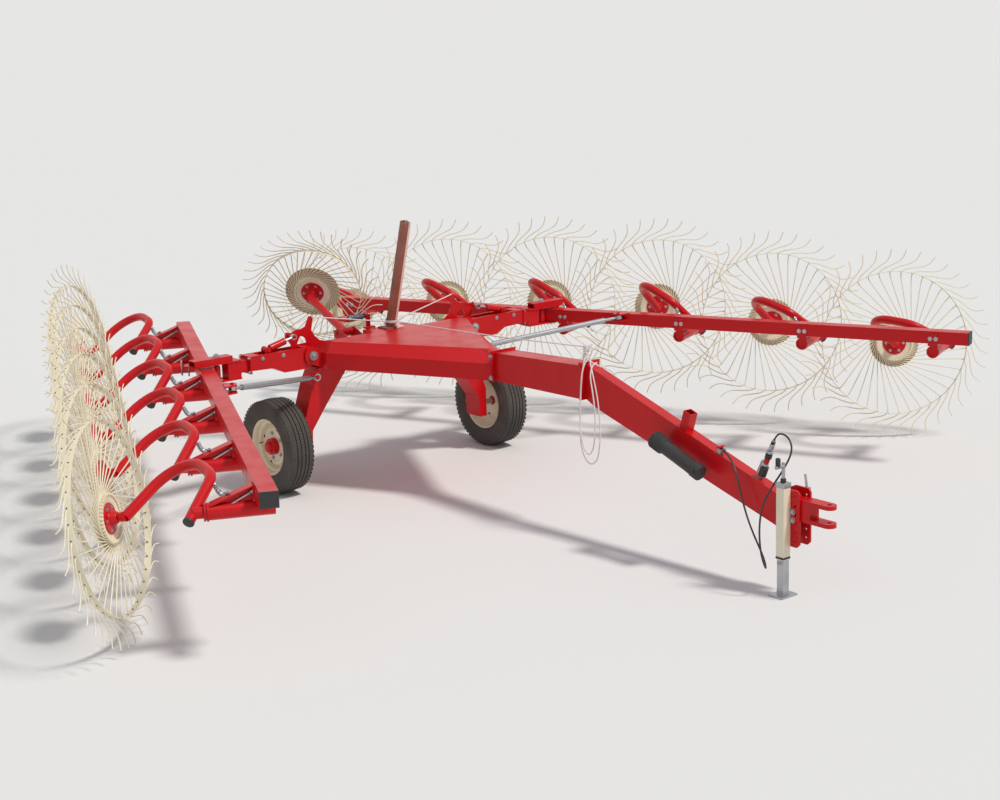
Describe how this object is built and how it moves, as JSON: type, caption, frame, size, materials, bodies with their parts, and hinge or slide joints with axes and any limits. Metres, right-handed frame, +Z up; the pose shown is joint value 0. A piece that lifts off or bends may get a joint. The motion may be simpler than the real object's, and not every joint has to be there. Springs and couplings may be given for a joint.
{
  "type": "wheel rake",
  "caption": "Trailed V-shaped hay rake on two carrying wheels, with finger wheels on two hinged wings, a raised middle wheel, a jack and a clevis hitch",
  "frame": {"origin": "on the floor, in the middle of the whole length and width", "axes": "+X to the machine's left, -Y along the travel, +Z up"},
  "size_m": [7.5048, 6.9741, 1.8242],
  "materials": {
    "red_paint": "gloss",
    "cream_paint": "satin",
    "bare_steel": "satin",
    "chrome_rod": "polished",
    "post_paint": "satin",
    "black_plastic": "matte",
    "tyre_rubber": "matte",
    "hose_rubber": "satin",
    "white_rope": "matte"
  },
  "bodies": {
    "machine": {"centre_frame": "red_paint", "frame_legs": "red_paint", "wing_ears": "red_paint", "hook_plates": "red_paint", "kicker_arm": "red_paint", "kicker_bracket": "red_paint", "tongue_rear": "red_paint", "tongue_front": "red_paint", "hitch_plates": "red_paint", "hitch_clevis": "red_paint", "link_pins": "red_paint", "axle_spindles": "bare_steel", "fold_pins": "bare_steel", "jack_tube": "cream_paint", "jack_stub": "red_paint", "document_tube": "black_plastic", "sign_post": "post_paint", "pull_rope": "white_rope", "hydraulic_hose": "hose_rubber", "hose_fittings": "bare_steel"},
    "jack_stand": {"jack_leg": "bare_steel"},
    "kicker": {"kicker_wheel": "cream_paint"},
    "wheel_left": {"tyre_left": "tyre_rubber", "wheel_rim_left": "cream_paint"},
    "wing_left": {"wing_arm_left": "red_paint", "wing_head_left": "red_paint"},
    "rake_beam_left": {"beam_left": "red_paint", "beam_brackets_left": "red_paint", "rake_arms_left": "red_paint", "beam_cap_left": "black_plastic"},
    "link_left": {"turnbuckle_left": "bare_steel"},
    "lift_barrel_left": {"cylinder_barrel_left": "red_paint"},
    "lift_rod_left": {"cylinder_rod_left": "chrome_rod"},
    "rake_wheel_left_1": {"rake_wheel_left_1": "cream_paint"},
    "rake_wheel_left_2": {"rake_wheel_left_2": "cream_paint"},
    "rake_wheel_left_3": {"rake_wheel_left_3": "cream_paint"},
    "rake_wheel_left_4": {"rake_wheel_left_4": "cream_paint"},
    "rake_wheel_left_5": {"rake_wheel_left_5": "cream_paint"},
    "rake_wheel_left_6": {"rake_wheel_left_6": "cream_paint"},
    "wheel_right": {"tyre_right": "tyre_rubber", "wheel_rim_right": "cream_paint"},
    "wing_right": {"wing_arm_right": "red_paint", "wing_head_right": "red_paint"},
    "rake_beam_right": {"beam_right": "red_paint", "beam_brackets_right": "red_paint", "rake_arms_right": "red_paint", "beam_cap_right": "black_plastic"},
    "link_right": {"turnbuckle_right": "bare_steel"},
    "lift_barrel_right": {"cylinder_barrel_right": "red_paint"},
    "lift_rod_right": {"cylinder_rod_right": "chrome_rod"},
    "rake_wheel_right_1": {"rake_wheel_right_1": "cream_paint"},
    "rake_wheel_right_2": {"rake_wheel_right_2": "cream_paint"},
    "rake_wheel_right_3": {"rake_wheel_right_3": "cream_paint"},
    "rake_wheel_right_4": {"rake_wheel_right_4": "cream_paint"},
    "rake_wheel_right_5": {"rake_wheel_right_5": "cream_paint"},
    "rake_wheel_right_6": {"rake_wheel_right_6": "cream_paint"}
  },
  "joints": [
    {"name": "jack_slide", "type": "slide", "parent": "machine", "child": "jack_stand", "axis": [0, 0, 1], "range_m": [0, 0.19]},
    {"name": "kicker_spin", "type": "hinge", "parent": "machine", "child": "kicker", "pos_m": [0, 1.64588, 1.179], "axis": [0.6403, 0.6724, 0.3714], "continuous": true},
    {"name": "wheel_spin_left", "type": "hinge", "parent": "machine", "child": "wheel_left", "pos_m": [0.947, 0.72338, 0.3315], "axis": [1, 0, 0], "continuous": true},
    {"name": "wing_lift_left", "type": "hinge", "parent": "machine", "child": "wing_left", "pos_m": [0.708, 0.66338, 0.949], "axis": [0, -1, 0], "range_deg": [0, 22]},
    {"name": "beam_swing_left", "type": "hinge", "parent": "wing_left", "child": "rake_beam_left", "pos_m": [1.42284, 0.66335, 0.93], "axis": [0, 0, -1], "range_deg": [-0.2, 6.5]},
    {"name": "link_swing_left", "type": "hinge", "parent": "rake_beam_left", "child": "link_left", "pos_m": [1.66516, 0.05828, 0.955], "axis": [-0.067, 0.1729, 0.9827], "range_deg": [-0.2, 5]},
    {"name": "barrel_turn_left", "type": "hinge", "parent": "wing_left", "child": "lift_barrel_left", "pos_m": [1.033, 0.66338, 1.028], "axis": [0, -1, 0], "range_deg": [-0.2, 10.5]},
    {"name": "rod_slide_left", "type": "slide", "parent": "lift_barrel_left", "child": "lift_rod_left", "axis": [-0.9704, 0, 0.2415], "range_m": [-0.053, 0.001]},
    {"name": "rake_spin_left_1", "type": "hinge", "parent": "rake_beam_left", "child": "rake_wheel_left_1", "pos_m": [1.27543, 3.00072, 0.7095], "axis": [0.6752, 0.7226, -0.1482], "continuous": true},
    {"name": "rake_spin_left_2", "type": "hinge", "parent": "rake_beam_left", "child": "rake_wheel_left_2", "pos_m": [1.66055, 2.16107, 0.8201], "axis": [0.6653, 0.7441, -0.0599], "continuous": true},
    {"name": "rake_spin_left_3", "type": "hinge", "parent": "rake_beam_left", "child": "rake_wheel_left_3", "pos_m": [2.05254, 1.30647, 0.87166], "axis": [0.6636, 0.7478, -0.0179], "continuous": true},
    {"name": "rake_spin_left_4", "type": "hinge", "parent": "rake_beam_left", "child": "rake_wheel_left_4", "pos_m": [2.44435, 0.45227, 0.8845], "axis": [0.6635, 0.7481, -0.0074], "continuous": true},
    {"name": "rake_spin_left_5", "type": "hinge", "parent": "rake_beam_left", "child": "rake_wheel_left_5", "pos_m": [2.83448, -0.39828, 0.8115], "axis": [0.6658, 0.7431, -0.0669], "continuous": true},
    {"name": "rake_spin_left_6", "type": "hinge", "parent": "rake_beam_left", "child": "rake_wheel_left_6", "pos_m": [3.2318, -1.26451, 0.7095], "axis": [0.6752, 0.7226, -0.1482], "continuous": true},
    {"name": "wheel_spin_right", "type": "hinge", "parent": "machine", "child": "wheel_right", "pos_m": [-0.947, 0.72338, 0.3315], "axis": [1, 0, 0], "continuous": true},
    {"name": "wing_lift_right", "type": "hinge", "parent": "machine", "child": "wing_right", "pos_m": [-0.708, 0.66338, 0.949], "axis": [0, 1, 0], "range_deg": [0, 22]},
    {"name": "beam_swing_right", "type": "hinge", "parent": "wing_right", "child": "rake_beam_right", "pos_m": [-1.42284, 0.66335, 0.93], "axis": [0, 0, 1], "range_deg": [-0.2, 6.5]},
    {"name": "link_swing_right", "type": "hinge", "parent": "rake_beam_right", "child": "link_right", "pos_m": [-1.66516, 0.05828, 0.955], "axis": [-0.067, -0.1729, -0.9827], "range_deg": [-0.2, 5]},
    {"name": "barrel_turn_right", "type": "hinge", "parent": "wing_right", "child": "lift_barrel_right", "pos_m": [-1.033, 0.66338, 1.028], "axis": [0, 1, 0], "range_deg": [-0.2, 10.5]},
    {"name": "rod_slide_right", "type": "slide", "parent": "lift_barrel_right", "child": "lift_rod_right", "axis": [0.9704, 0, 0.2415], "range_m": [-0.053, 0.001]},
    {"name": "rake_spin_right_1", "type": "hinge", "parent": "rake_beam_right", "child": "rake_wheel_right_1", "pos_m": [-1.27543, 3.00072, 0.7095], "axis": [-0.6752, 0.7226, -0.1482], "continuous": true},
    {"name": "rake_spin_right_2", "type": "hinge", "parent": "rake_beam_right", "child": "rake_wheel_right_2", "pos_m": [-1.6667, 2.14767, 0.7095], "axis": [-0.6752, 0.7226, -0.1482], "continuous": true},
    {"name": "rake_spin_right_3", "type": "hinge", "parent": "rake_beam_right", "child": "rake_wheel_right_3", "pos_m": [-2.05798, 1.29463, 0.7095], "axis": [-0.6752, 0.7226, -0.1482], "continuous": true},
    {"name": "rake_spin_right_4", "type": "hinge", "parent": "rake_beam_right", "child": "rake_wheel_right_4", "pos_m": [-2.44925, 0.44158, 0.7095], "axis": [-0.6752, 0.7226, -0.1482], "continuous": true},
    {"name": "rake_spin_right_5", "type": "hinge", "parent": "rake_beam_right", "child": "rake_wheel_right_5", "pos_m": [-2.84053, -0.41146, 0.7095], "axis": [-0.6752, 0.7226, -0.1482], "continuous": true},
    {"name": "rake_spin_right_6", "type": "hinge", "parent": "rake_beam_right", "child": "rake_wheel_right_6", "pos_m": [-3.2318, -1.26451, 0.7095], "axis": [-0.6752, 0.7226, -0.1482], "continuous": true}
  ],
  "couplings": [
    {"joint": "beam_swing_left", "follows": "wing_lift_left", "ratio": 0.2817},
    {"joint": "link_swing_left", "follows": "wing_lift_left", "ratio": 0.2164},
    {"joint": "barrel_turn_left", "follows": "wing_lift_left", "ratio": 0.4631},
    {"joint": "rod_slide_left", "follows": "wing_lift_left", "m_per_rad": -0.1348},
    {"joint": "beam_swing_right", "follows": "wing_lift_right", "ratio": 0.2817},
    {"joint": "link_swing_right", "follows": "wing_lift_right", "ratio": 0.2164},
    {"joint": "barrel_turn_right", "follows": "wing_lift_right", "ratio": 0.4631},
    {"joint": "rod_slide_right", "follows": "wing_lift_right", "m_per_rad": -0.1348}
  ]
}
